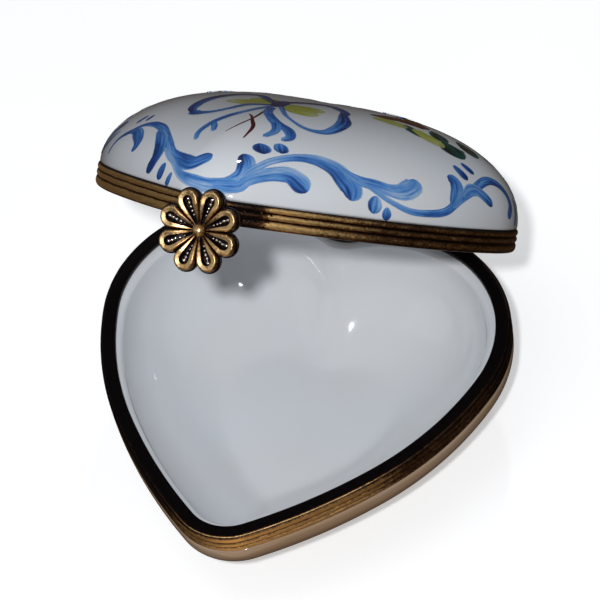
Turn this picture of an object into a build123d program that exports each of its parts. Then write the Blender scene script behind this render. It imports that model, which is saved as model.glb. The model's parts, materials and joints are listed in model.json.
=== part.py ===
"""Heart-shaped porcelain trinket box with a hinged lid, brass collars and a flower clasp.

Units are millimetres and +Z is up. The origin is the centre of the foot, with the heart's
point towards -Y and its two lobes and the hinge towards +Y. The lid stands open at rest.
"""

from build123d import *
from math import atan2, cos, degrees, hypot, pi, radians, sin, sqrt
import os

# Heart outline, measured over the crests of the collar ribs.
HALF_WIDTH = 28.0
POINT_RADIUS = 8.2
POINT_CENTRE_Y = -18.8
POINT_HALF_ANGLE = radians(35)
FRONT_SIDE_RADIUS = 74.0
BACK_SIDE_RADIUS = 43.0
LOBE_RADIUS = 18.2
LOBE_CENTRE_Y = 8.8
CLEFT_RADIUS = 4.0

# Heights.
BASE_HEIGHT = 16.5
LID_HEIGHT = 14.6
MATING_GAP = 0.12
OPEN_ANGLE = 49.0

# Brass collars: an outer band with three rolled ribs, and a flat mating flange.
COLLAR_HEIGHT = 2.9
FLANGE_WIDTH = 2.1
FLANGE_THICKNESS = 0.55
BAND_INNER = 0.75
RIB_VALLEY = 0.25
RIB_HEIGHTS = (1.15, 0.85, 0.8)

# Adhesive bedding between collar and porcelain.
CEMENT_THICKNESS = 0.15

# Porcelain: neck inside the collar, then the visible body.
NECK = BAND_INNER + CEMENT_THICKNESS
RIM_DROP = FLANGE_THICKNESS + CEMENT_THICKNESS
SHOULDER_DROP = COLLAR_HEIGHT + 0.1

# Body profiles run from the collar to the far end. Each step shrinks the heart by an inset
# that follows 1 - (1 - t**power)**root, with t going from 0 to 1 over the depth.
BASE_WALL_INSET = 0.05
BASE_WALL_DEPTH = 4.3
FOOT_INSET = 12.6
FOOT_STEP = 0.8
BASE_POWER = 1.6
BASE_ROOT = 1.0
LID_WALL_INSET = 0.2
LID_POWER = 2.0
LID_ROOT = 0.37
LID_CROWN_INSET = 22.0
# The lid's crown lies behind the heart's middle, and the dome rises towards the lobes.
CROWN_SETBACK = 5.0
DOME_LEAN = 0.0042
LIP_TOP_INSET = 2.0
LIP_DEPTH = 1.7
WALL = 3.2
BASE_FLOOR = 3.0
BASE_FLOOR_INSET = 16.0
BASE_BOWL_POWER = 2.0
BASE_BOWL_ROOT = 0.55
LID_CROWN = 2.6
SECTIONS = 9
DEEPEST_OFFSET = 6.0

# Hinge at the cleft: three knuckles on one pin.
HINGE_SETBACK = 0.15
KNUCKLE_RADIUS = 0.9
PIN_RADIUS = 0.45
PIN_CLEARANCE = 0.04
PIN_OVERHANG = 0.25
MIDDLE_KNUCKLE = 2.3
OUTER_KNUCKLE = 2.2
KNUCKLE_GAP = 0.15
LEAF_THICKNESS = 1.1
LEAF_RISE = 0.35

# Clasp at the point of the lid.
TONGUE_WIDTH = 5.0
TONGUE_THICKNESS = 0.8
TONGUE_TOP = 2.3
TONGUE_BOTTOM = -3.6
TONGUE_CLEARANCE = 0.3
TONGUE_FOOT_START = 0.4
NIB_LENGTH = 3.0
NIB_HEIGHT = 0.18
NIB_LEVEL = -3.0
FLOWER_CENTRE_Z = -1.0
PETAL_COUNT = 8
PETAL_RING_RADIUS = 2.95
PETAL_RADIUS = 1.54
PETAL_LENGTH = 2.42
PETAL_TAPER = 3.2
GROOVE_TAPER = 2.4
FLOWER_TURN = 17.0
PETAL_RIM = 0.6
FLOWER_THICKNESS = 1.4
GROOVE_DEPTH = 0.7
BEAD_RADIUS = 0.22
BEADS_PER_PETAL = 4
FIRST_BEAD_OUT = 0.85
BEAD_SPACING = 0.5
HUB_RADIUS = 1.3
RIVET_RADIUS = 0.5
RIVET_HEAD_RADIUS = 0.62

MATING_Z = BASE_HEIGHT
HINGE_Y = LOBE_CENTRE_Y + LOBE_RADIUS + HINGE_SETBACK
HINGE_AXIS = Axis((0, HINGE_Y, MATING_Z), (-1, 0, 0))
TIP_Y = POINT_CENTRE_Y - POINT_RADIUS


def on_circle(centre, radius, angle):
    """Point on a circle, with the angle measured from -Y towards +X."""
    return (centre[0] + radius * sin(angle), centre[1] - radius * cos(angle))


def bearing(start, end):
    """Angle from -Y towards +X of the direction from start to end."""
    return atan2(end[0] - start[0], start[1] - end[1])


def side_arcs():
    """Centres of the heart's five arcs on the +X side and the angles where they meet."""
    point = (0.0, POINT_CENTRE_Y)
    lobe = (HALF_WIDTH - LOBE_RADIUS, LOBE_CENTRE_Y)
    front = on_circle(point, POINT_RADIUS - FRONT_SIDE_RADIUS, POINT_HALF_ANGLE)
    # The back side arc touches the front side arc and the lobe from inside.
    reach_front = FRONT_SIDE_RADIUS - BACK_SIDE_RADIUS
    reach_lobe = BACK_SIDE_RADIUS - LOBE_RADIUS
    span = hypot(lobe[0] - front[0], lobe[1] - front[1])
    along = (reach_front**2 - reach_lobe**2 + span**2) / (2 * span)
    across = sqrt(reach_front**2 - along**2)
    ux = (lobe[0] - front[0]) / span
    uy = (lobe[1] - front[1]) / span
    back = (front[0] + ux * along + uy * across, front[1] + uy * along - ux * across)
    cleft = (0.0, lobe[1] + sqrt((LOBE_RADIUS + CLEFT_RADIUS) ** 2 - lobe[0] ** 2))
    joints = [
        POINT_HALF_ANGLE,
        bearing(front, back),
        bearing(back, lobe),
        bearing(lobe, cleft) % (2 * pi),
    ]
    return point, front, back, lobe, cleft, joints


def heart_wire(offset=0.0, scale=1.0, z=0.0):
    """Closed heart, set in by offset and then scaled about the origin."""
    point, front, back, lobe, cleft, joints = side_arcs()
    runs = [
        (point, POINT_RADIUS - offset, 0.0, joints[0]),
        (front, FRONT_SIDE_RADIUS - offset, joints[0], joints[1]),
        (back, BACK_SIDE_RADIUS - offset, joints[1], joints[2]),
        (lobe, LOBE_RADIUS - offset, joints[2], joints[3]),
        (cleft, -CLEFT_RADIUS - offset, joints[3], pi),
    ]
    right = []
    for centre, radius, start, end in runs:
        trio = [on_circle(centre, radius, a) for a in (start, (start + end) / 2, end)]
        right.append([(x * scale, y * scale, z) for x, y in trio])
    left = [[(-x, y, z) for x, y, z in reversed(trio)] for trio in reversed(right)]
    return Wire([ThreePointArc(*trio) for trio in right + left])


def heart_face(offset=0.0, scale=1.0, z=0.0):
    return Face(heart_wire(offset, scale, z))


def body_section(height, inset, setback=0.0, lean=0.0):
    """Section of the porcelain: partly a parallel offset, partly a smaller heart."""
    left_over = 1 - inset / HALF_WIDTH
    offset = DEEPEST_OFFSET * (1 - left_over**2)
    scale = (HALF_WIDTH - inset) / (HALF_WIDTH - offset)
    shift = setback * inset / HALF_WIDTH
    tilt = degrees(atan2(lean * (height - SHOULDER_DROP), 1))
    flat = Pos(0, shift, 0) * heart_face(offset, scale)
    return Pos(0, 0, height) * Rot(max(tilt, 0.0), 0, 0) * flat


def profile(start, end, power, root, full_inset):
    """Sections from start to end, each (distance from the mating plane, inset)."""
    low, first = start
    high, last = end
    # The curve is cut off where it has shrunk the heart by the last inset.
    cut = (1 - (1 - (last - first) / (full_inset - first)) ** (1 / root)) ** (1 / power)
    steps = []
    for index in range(SECTIONS):
        t = cut * sin(pi / 2 * index / (SECTIONS - 1))
        shrink = 1 - (1 - t**power) ** root
        steps.append((low + (high - low) * t / cut, first + (full_inset - first) * shrink))
    return steps


def body_solid(sections, setback=0.0, lean=0.0):
    return loft([body_section(height, inset, setback, lean) for height, inset in sections])


def swept_ring(outline):
    """Ring that follows the heart; outline points are (inset from the crests, height)."""
    section = Face(outline)
    section = Plane(origin=(0, TIP_Y, 0), x_dir=(0, 1, 0), z_dir=(1, 0, 0)) * section
    return sweep(section, path=heart_wire())


def collar():
    """Collar in its own frame, with the mating face at height 0 and the ribs above it."""
    edges = [Line((RIB_VALLEY + 0.1, 0), (RIB_VALLEY, 0.05))]
    height = 0.05
    for rib in RIB_HEIGHTS:
        middle = (0.0, height + rib / 2)
        top = (RIB_VALLEY, height + rib)
        edges.append(ThreePointArc((RIB_VALLEY, height), middle, top))
        height += rib
    corners = [
        (RIB_VALLEY, height),
        (BAND_INNER, COLLAR_HEIGHT),
        (BAND_INNER, FLANGE_THICKNESS),
        (FLANGE_WIDTH, FLANGE_THICKNESS),
        (FLANGE_WIDTH, 0),
        (RIB_VALLEY + 0.1, 0),
    ]
    return swept_ring(Wire(edges + Polyline(*corners).edges()))


def cement():
    """L-shaped bedding that fills the space between a collar and its porcelain."""
    low = FLANGE_THICKNESS
    corners = [
        (BAND_INNER, low),
        (FLANGE_WIDTH, low),
        (FLANGE_WIDTH, RIM_DROP),
        (NECK, RIM_DROP),
        (NECK, COLLAR_HEIGHT),
        (BAND_INNER, COLLAR_HEIGHT),
        (BAND_INNER, low),
    ]
    return swept_ring(Wire(Polyline(*corners)))


def porcelain(outside, inside, setback=0.0, lean=0.0):
    """Open porcelain shell in its own frame, with the rim next to height 0."""
    neck = extrude(heart_face(NECK, 1, RIM_DROP), SHOULDER_DROP - RIM_DROP, dir=(0, 0, 1))
    shell = neck + body_solid(outside, setback, lean)
    rounding = (LIP_DEPTH - RIM_DROP) / 3
    lip = [
        heart_face(LIP_TOP_INSET, 1, RIM_DROP - rounding),
        heart_face(WALL - 0.1, 1, RIM_DROP + rounding),
        heart_face(WALL, 1, LIP_DEPTH),
    ]
    return shell - loft(lip, ruled=True) - body_solid(inside, setback, lean)


def base_porcelain():
    start = (BASE_WALL_DEPTH, BASE_WALL_INSET)
    bottom = BASE_HEIGHT - MATING_GAP / 2
    waist = (bottom - FOOT_STEP, FOOT_INSET)
    outside = profile(start, waist, BASE_POWER, BASE_ROOT, FOOT_INSET)
    floor = (BASE_HEIGHT - BASE_FLOOR, BASE_FLOOR_INSET)
    rim = (LIP_DEPTH, WALL)
    inside = profile(rim, floor, BASE_BOWL_POWER, BASE_BOWL_ROOT, HALF_WIDTH)
    shell = porcelain([(SHOULDER_DROP, BASE_WALL_INSET)] + outside, inside)
    return shell + extrude(body_section(bottom, FOOT_INSET), FOOT_STEP, dir=(0, 0, -1))


def lid_porcelain():
    start = (SHOULDER_DROP, LID_WALL_INSET)
    top = (LID_HEIGHT - MATING_GAP / 2, LID_CROWN_INSET)
    outside = profile(start, top, LID_POWER, LID_ROOT, HALF_WIDTH)
    crown = (LID_HEIGHT - LID_CROWN, LID_CROWN_INSET)
    inside = profile((LIP_DEPTH, WALL), crown, LID_POWER, LID_ROOT, HALF_WIDTH)
    return porcelain(outside, inside, CROWN_SETBACK, DOME_LEAN)


def as_base(part):
    """Turns a half from its own frame into the base, with its rim upwards."""
    return Pos(0, 0, MATING_Z - MATING_GAP / 2) * mirror(part, about=Plane.XY)


def as_closed_lid(part):
    return Pos(0, 0, MATING_Z + MATING_GAP / 2) * part


def opened(part):
    return part.rotate(HINGE_AXIS, OPEN_ANGLE)


def knuckle(start, length, side):
    """Knuckle with its leaf; side is +1 for the lid's and -1 for the base's."""
    middle = start + length / 2
    turned = Pos(middle, HINGE_Y, MATING_Z) * Rot(0, 90, 0)
    barrel = turned * Cylinder(KNUCKLE_RADIUS, length)
    cleft_y = side_arcs()[4][1] - CLEFT_RADIUS
    depth = HINGE_Y - cleft_y
    leaf_z = MATING_Z + side * (LEAF_RISE + LEAF_THICKNESS / 2)
    leaf_y = cleft_y + depth / 2 - KNUCKLE_RADIUS / 4
    leaf_size = (length, depth - KNUCKLE_RADIUS / 2, LEAF_THICKNESS)
    leaf = Pos(middle, leaf_y, leaf_z) * Box(*leaf_size)
    bore = turned * Cylinder(PIN_RADIUS + PIN_CLEARANCE, length + 1)
    # The leaf is soldered to the collar's outer face.
    inside_collar = extrude(heart_face(RIB_VALLEY, 1, 0), 2 * MATING_Z, dir=(0, 0, 1))
    return barrel + (leaf - inside_collar) - bore


def petal_outline(shrink):
    """Teardrop petal: a round tip towards +Y that narrows towards the flower's centre."""
    radius = PETAL_RADIUS - shrink
    head = (0, PETAL_RING_RADIUS + PETAL_LENGTH - PETAL_RADIUS)
    tail = (0, head[1] - PETAL_TAPER + shrink * GROOVE_TAPER)
    reach = head[1] - tail[1]
    contact = atan2(radius, sqrt(reach**2 - radius**2))
    touch = (radius * cos(contact), head[1] - radius * sin(contact))
    mirrored = (-touch[0], touch[1])
    top = (0, head[1] + radius)
    edges = [
        Line(tail, touch),
        ThreePointArc(touch, top, mirrored),
        Line(mirrored, tail),
    ]
    return Face(Wire(edges))


def flower():
    """Rosette with hollow petals and a row of beads in each, facing +Z in its own frame."""
    petal = extrude(petal_outline(0), FLOWER_THICKNESS, dir=(0, 0, 1))
    groove = extrude(petal_outline(PETAL_RIM), GROOVE_DEPTH, dir=(0, 0, -1))
    groove = Pos(0, 0, FLOWER_THICKNESS) * groove
    step = 360 / PETAL_COUNT
    hub = Pos(0, 0, FLOWER_THICKNESS / 2) * Cylinder(HUB_RADIUS, FLOWER_THICKNESS)
    rosette = hub
    for index in range(PETAL_COUNT):
        rosette = rosette + Rot(0, 0, -FLOWER_TURN - index * step) * petal
    for index in range(PETAL_COUNT):
        turn = Rot(0, 0, -FLOWER_TURN - index * step)
        rosette = rosette - turn * groove
        for bead in range(BEADS_PER_PETAL):
            out = PETAL_RING_RADIUS + FIRST_BEAD_OUT - bead * BEAD_SPACING
            place = Pos(0, out, FLOWER_THICKNESS - GROOVE_DEPTH)
            rosette = rosette + turn * place * Sphere(BEAD_RADIUS)
    bore = Pos(0, 0, FLOWER_THICKNESS / 2) * Cylinder(RIVET_RADIUS, FLOWER_THICKNESS * 2)
    return rosette - bore


def clasp_parts():
    """Tongue, nib, flower and rivet, for the closed lid."""
    back_y = TIP_Y - TONGUE_CLEARANCE
    front_y = back_y - TONGUE_THICKNESS
    height = TONGUE_TOP - TONGUE_BOTTOM
    tongue_z = MATING_Z + (TONGUE_TOP + TONGUE_BOTTOM) / 2
    middle_y = (back_y + front_y) / 2
    tongue = Pos(0, middle_y, tongue_z) * Box(TONGUE_WIDTH, TONGUE_THICKNESS, height)
    # A foot behind the tongue reaches the lid's collar, where it is soldered.
    foot_height = TONGUE_TOP - TONGUE_FOOT_START
    foot_depth = TONGUE_CLEARANCE + BAND_INNER
    foot = Pos(0, back_y + foot_depth / 2, MATING_Z + TONGUE_FOOT_START + foot_height / 2)
    foot = foot * Box(TONGUE_WIDTH, foot_depth, foot_height)
    nib_place = Pos(0, back_y, MATING_Z + NIB_LEVEL)
    nib = nib_place * Rot(0, 90, 0) * Cylinder(NIB_HEIGHT, NIB_LENGTH)
    nib = nib & (nib_place * Pos(0, NIB_HEIGHT / 2, 0) * Box(NIB_LENGTH, NIB_HEIGHT, 1))
    face = Plane(
        origin=(0, front_y, MATING_Z + FLOWER_CENTRE_Z), x_dir=(1, 0, 0), z_dir=(0, -1, 0)
    )
    rosette = face * flower()
    shank_length = TONGUE_THICKNESS + FLOWER_THICKNESS
    shank_middle = (FLOWER_THICKNESS - TONGUE_THICKNESS) / 2
    shank = face * Pos(0, 0, shank_middle) * Cylinder(RIVET_RADIUS, shank_length)
    head = Sphere(RIVET_HEAD_RADIUS) & (Pos(0, 0, 1) * Box(2, 2, 2))
    rivet = shank + face * Pos(0, 0, FLOWER_THICKNESS) * head
    tongue = tongue - face * Pos(0, 0, -1) * Cylinder(RIVET_RADIUS, 2)
    return {
        "clasp_tongue": tongue + foot,
        "clasp_nib": nib,
        "clasp_flower": rosette,
        "clasp_rivet": rivet,
    }


def build_nodes():
    nodes = {}
    ring = collar()
    bedding = cement()
    nodes["base_porcelain"] = as_base(base_porcelain())
    nodes["base_cement"] = as_base(bedding)
    nodes["base_collar"] = as_base(ring)
    nodes["lid_porcelain"] = opened(as_closed_lid(lid_porcelain()))
    nodes["lid_cement"] = opened(as_closed_lid(bedding))
    lid_ring = as_closed_lid(ring)

    inner_end = MIDDLE_KNUCKLE / 2 + KNUCKLE_GAP
    nodes["base_knuckle_left"] = knuckle(-inner_end - OUTER_KNUCKLE, OUTER_KNUCKLE, -1)
    nodes["base_knuckle_right"] = knuckle(inner_end, OUTER_KNUCKLE, -1)
    for name in ("base_knuckle_left", "base_knuckle_right"):
        nodes[name] = nodes[name] - nodes["base_collar"]
    lid_knuckle = knuckle(-MIDDLE_KNUCKLE / 2, MIDDLE_KNUCKLE, 1) - lid_ring
    nodes["lid_knuckle"] = opened(lid_knuckle)
    pin_length = 2 * (inner_end + OUTER_KNUCKLE + PIN_OVERHANG)
    pin = Pos(0, HINGE_Y, MATING_Z) * Rot(0, 90, 0) * Cylinder(PIN_RADIUS, pin_length)
    nodes["hinge_pin"] = pin

    for name, part in clasp_parts().items():
        if name == "clasp_tongue":
            part = part - lid_ring
        nodes[name] = opened(part)
    nodes["lid_collar"] = opened(lid_ring)
    return nodes


os.makedirs("parts", exist_ok=True)
for node_name, solid in build_nodes().items():
    solid.label = node_name
    export_step(solid, f"parts/{node_name}.step")
    print(node_name, round(solid.volume, 1), solid.is_valid)
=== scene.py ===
import json
import math
import random

import bmesh
import bpy
import numpy as np
from mathutils import Matrix, Vector
from mathutils.bvhtree import BVHTree


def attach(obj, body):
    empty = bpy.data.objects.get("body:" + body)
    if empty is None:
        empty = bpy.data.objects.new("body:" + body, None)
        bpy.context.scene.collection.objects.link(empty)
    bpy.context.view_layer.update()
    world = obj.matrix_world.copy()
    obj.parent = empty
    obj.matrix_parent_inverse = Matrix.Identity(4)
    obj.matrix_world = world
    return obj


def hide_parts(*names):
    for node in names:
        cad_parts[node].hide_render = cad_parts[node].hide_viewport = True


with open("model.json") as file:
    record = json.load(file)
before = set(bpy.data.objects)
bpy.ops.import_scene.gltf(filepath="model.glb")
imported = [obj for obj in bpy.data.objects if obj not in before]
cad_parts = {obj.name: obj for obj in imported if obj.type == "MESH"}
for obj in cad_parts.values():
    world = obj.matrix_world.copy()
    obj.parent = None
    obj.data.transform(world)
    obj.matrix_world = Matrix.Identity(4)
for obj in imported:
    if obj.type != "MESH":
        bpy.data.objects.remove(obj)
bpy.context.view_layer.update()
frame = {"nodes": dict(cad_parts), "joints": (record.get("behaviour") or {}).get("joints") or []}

# ---------------- sizes, in millimetres
MM = 0.001
hinge = frame["joints"][0]
HINGE_Y = hinge["pos_m"][1] / MM
MATING_Z = hinge["pos_m"][2] / MM
OPEN_ANGLE = math.radians(-hinge["range_deg"][0])

HALF_WIDTH = 28.0
POINT_RADIUS = 8.2
POINT_CENTRE_Y = -18.8
POINT_HALF_ANGLE = math.radians(35)
FRONT_SIDE_RADIUS = 74.0
BACK_SIDE_RADIUS = 43.0
LOBE_RADIUS = 18.2
LOBE_CENTRE_Y = 8.8
CLEFT_RADIUS = 4.0
DEEPEST_OFFSET = 6.0
MATING_GAP = 0.12
TIP_Y = POINT_CENTRE_Y - POINT_RADIUS

COLLAR_HEIGHT = 2.9
FLANGE_WIDTH = 2.1
FLANGE_THICKNESS = 0.55
BAND_INNER = 0.75
RIB_DEPTH = 0.25
RIB_HEIGHTS = (1.15, 0.85, 0.8)
RIB_ROUNDNESS = 0.62
RIB_POINTS = 15
FIRST_RIB = 0.06

LID_HEIGHT = 14.6
CROWN_SETBACK = 5.0
DOME_LEAN = 0.0042
WALL = 3.2
LIP_DEPTH = 1.7
FOOT_INSET = 12.6
FOOT_STEP = 0.8
BASE_WALL_INSET = 0.05
BASE_WALL_DEPTH = 4.3
BASE_FLOOR = 3.0
BASE_FLOOR_INSET = 16.0
CROWN_WALL = 2.6
LID_WALL_INSET = 0.2
DOME_ROOT = 0.37

AROUND = 720


# ---------------- heart outline
def on_circle(centre, radius, angle):
    return (centre[0] + radius * math.sin(angle), centre[1] - radius * math.cos(angle))


def bearing(start, end):
    return math.atan2(end[0] - start[0], start[1] - end[1])


def heart_runs():
    """The heart's arcs on the +X side: centre, radius and the angles where each starts and ends."""
    point = (0.0, POINT_CENTRE_Y)
    lobe = (HALF_WIDTH - LOBE_RADIUS, LOBE_CENTRE_Y)
    front = on_circle(point, POINT_RADIUS - FRONT_SIDE_RADIUS, POINT_HALF_ANGLE)
    reach_front = FRONT_SIDE_RADIUS - BACK_SIDE_RADIUS
    reach_lobe = BACK_SIDE_RADIUS - LOBE_RADIUS
    span = math.hypot(lobe[0] - front[0], lobe[1] - front[1])
    along = (reach_front**2 - reach_lobe**2 + span**2) / (2 * span)
    across = math.sqrt(reach_front**2 - along**2)
    ux = (lobe[0] - front[0]) / span
    uy = (lobe[1] - front[1]) / span
    back = (front[0] + ux * along + uy * across, front[1] + uy * along - ux * across)
    cleft = (0.0, lobe[1] + math.sqrt((LOBE_RADIUS + CLEFT_RADIUS) ** 2 - lobe[0] ** 2))
    turns = [
        0.0,
        POINT_HALF_ANGLE,
        bearing(front, back),
        bearing(back, lobe),
        bearing(lobe, cleft) % (2 * math.pi),
        math.pi,
    ]
    centres = (point, front, back, lobe, cleft)
    radii = (POINT_RADIUS, FRONT_SIDE_RADIUS, BACK_SIDE_RADIUS, LOBE_RADIUS, -CLEFT_RADIUS)
    return [(c, r, turns[i], turns[i + 1]) for i, (c, r) in enumerate(zip(centres, radii))]


RUNS = heart_runs()
RUN_ENDS = np.cumsum([0.0] + [abs(r * (e - s)) for _, r, s, e in RUNS])
HALF_LENGTH = float(RUN_ENDS[-1])


def heart_normals(along):
    """For distances along the rim from the point (+X side positive): arc centres, radii, angles."""
    out = []
    for value in np.atleast_1d(along):
        side = 1.0 if value >= 0 else -1.0
        reach = min(abs(value), HALF_LENGTH - 1e-6)
        i = int(np.searchsorted(RUN_ENDS, reach, side="right") - 1)
        centre, radius, start, end = RUNS[i]
        angle = start + (end - start) * (reach - RUN_ENDS[i]) / (RUN_ENDS[i + 1] - RUN_ENDS[i])
        out.append((side, centre[0], centre[1], radius, math.sin(angle), -math.cos(angle)))
    return np.array(out)


def ring_points(table, inset):
    """Points of the true parallel offset of the rim."""
    x = table[:, 1] + (table[:, 3] - inset) * table[:, 4]
    y = table[:, 2] + (table[:, 3] - inset) * table[:, 5]
    return np.stack([x * table[:, 0], y], 1)


def heart_points(table, inset):
    """Points of the heart set in by inset: a parallel offset at the rim, a smaller heart within."""
    offset, scale = section(inset)
    return ring_points(table, offset) * scale


def section(inset):
    """Offset and scale of the heart at an inset: at half the width it shrinks to a point."""
    offset = inset if inset < 0 else DEEPEST_OFFSET * (1 - (1 - inset / HALF_WIDTH) ** 2)
    return offset, (HALF_WIDTH - inset) / (HALF_WIDTH - offset)


# Samples round the rim are denser at the point and in the cleft, where it turns fast.
def rim_samples(count):
    u = np.linspace(-1, 1, count, endpoint=False) + 1.0 / count
    eased = u - 0.10 * np.sin(2 * np.pi * u) / np.pi
    return eased * HALF_LENGTH


RIM = rim_samples(AROUND)
TABLE = heart_normals(RIM)


# ---------------- mesh helpers
def smoothstep(low, high, value):
    t = np.clip((value - low) / (high - low), 0, 1)
    return t * t * (3 - 2 * t)


def closed_to_row(points):
    """Turns points of the closed lid, in millimetres, to where the open lid is at rest."""
    y = points[:, 1] - HINGE_Y
    z = points[:, 2] - MATING_Z
    c, s = math.cos(OPEN_ANGLE), math.sin(OPEN_ANGLE)
    out = np.array(points, float)
    out[:, 1] = HINGE_Y + y * c + z * s
    out[:, 2] = MATING_Z - y * s + z * c
    return out


def place_object(name, data):
    obj = bpy.data.objects.new(name, data)
    bpy.context.scene.collection.objects.link(obj)
    return obj


def make_object(name, points, faces, lid, attributes):
    """A smooth mesh object from points in millimetres.

    attributes hold one number for each point, or a single number for all of them."""
    points = np.asarray(points, float)
    if lid:
        points = closed_to_row(points)
    mesh = bpy.data.meshes.new(name)
    mesh.from_pydata((points * MM).tolist(), [], faces)
    mesh.update()
    mesh.validate()
    for key, values in attributes.items():
        layer = mesh.attributes.new(key, "FLOAT", "POINT")
        layer.data.foreach_set("value", np.full(len(points), values, np.float32))
    face_outwards(mesh)
    mesh.shade_smooth()
    return place_object(name, mesh)


def face_outwards(mesh):
    bm = bmesh.new()
    bm.from_mesh(mesh)
    bmesh.ops.recalc_face_normals(bm, faces=bm.faces)
    bm.to_mesh(mesh)
    bm.free()


def grid_faces(rows, columns, wrap_rows=False):
    faces = []
    last = rows if wrap_rows else rows - 1
    for i in range(last):
        a = i * columns
        b = ((i + 1) % rows) * columns
        for j in range(columns):
            k = (j + 1) % columns
            faces.append((a + j, a + k, b + k, b + j))
    return faces


def capped_faces(rows, columns):
    """Faces of a grid closed by two poles, whose points come after the grid's own."""
    faces = grid_faces(rows, columns)
    pole, last = rows * columns, (rows - 1) * columns
    for j in range(columns):
        k = (j + 1) % columns
        faces.append((pole, k, j))
        faces.append((last + j, last + k, pole + 1))
    return faces


def body_ring(table, inset, depth, lid):
    """Ring of the porcelain at an inset and a depth; the dome leans back towards the lobes."""
    flat = heart_points(table, inset)
    if not lid:
        return np.column_stack([flat, np.full(len(flat), base_z(depth))])
    above = min(max((depth - RIM_DROP) / (SHOULDER - RIM_DROP), 0.0), 1.0)
    y = flat[:, 1] + CROWN_SETBACK * above * inset / HALF_WIDTH
    z = lid_z(depth) + DOME_LEAN * max(depth - SHOULDER, 0.0) * y
    return np.column_stack([flat[:, 0], y, z])


def shell_object(name, profile, lid, painted_glow):
    """A closed shell swept over heart sections; profile is (inset, depth) from pole to pole.

    The last argument gives, for each profile point, how strongly the painted warm reflection, a tan tint
    for light bounced from a brown table, covers its glaze."""
    points = [body_ring(TABLE, inset, depth, lid) for inset, depth in profile[1:-1]]
    poles = [body_ring(TABLE[:1], inset, depth, lid) for inset, depth in (profile[0], profile[-1])]
    faces = capped_faces(len(points), AROUND)
    points = np.concatenate(points + poles)
    glow_share = np.concatenate([np.repeat(painted_glow[1:-1], AROUND), [painted_glow[0], painted_glow[-1]]])
    return make_object(name, points, faces, lid, {"painted_glow": glow_share})


def resample(points, step):
    points = np.asarray(points, float)
    lengths = np.hypot(*np.diff(points, axis=0).T)
    run = np.concatenate([[0.0], np.cumsum(lengths)])
    count = max(4, int(round(run[-1] / step)))
    at = np.linspace(0, run[-1], count + 1)
    return np.stack([np.interp(at, run, points[:, i]) for i in range(2)], 1)


def soften(points, step, sigma):
    """Rounds a profile's corners; sigma is in millimetres and the ends stay."""
    points = resample(points, step)
    reach = int(3 * sigma / step)
    kernel = np.exp(-0.5 * (np.arange(-reach, reach + 1) * step / sigma) ** 2)
    kernel /= kernel.sum()
    padded = np.concatenate(
        [2 * points[0] - points[reach:0:-1], points, 2 * points[-1] - points[-2 : -reach - 2 : -1]]
    )
    return np.stack([np.convolve(padded[:, i], kernel, "valid") for i in range(2)], 1)


def curve(start, end, full, power, root, count=80):
    """Body profile (inset, depth), the same shape as the CAD's: 1 - (1 - t**power)**root."""
    low, first = start
    high, last = end
    cut = (1 - (1 - (last - first) / (full - first)) ** (1 / root)) ** (1 / power)
    t = cut * np.sin(np.linspace(0, math.pi / 2, count))
    inset = first + (full - first) * (1 - (1 - t**power) ** root)
    return np.stack([inset, low + (high - low) * t / cut], 1)


# ---------------- node helpers
def fill_ramp(ramp, stops):
    """Sets a colour ramp to stops of (place from 0 to 1, colour)."""
    ends = ramp.elements[0], ramp.elements[1]
    for end, (place, colour) in zip(ends, (stops[0], stops[-1])):
        end.position = place
        end.color = (*colour, 1)
    for place, colour in stops[1:-1]:
        ramp.elements.new(place).color = (*colour, 1)


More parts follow.
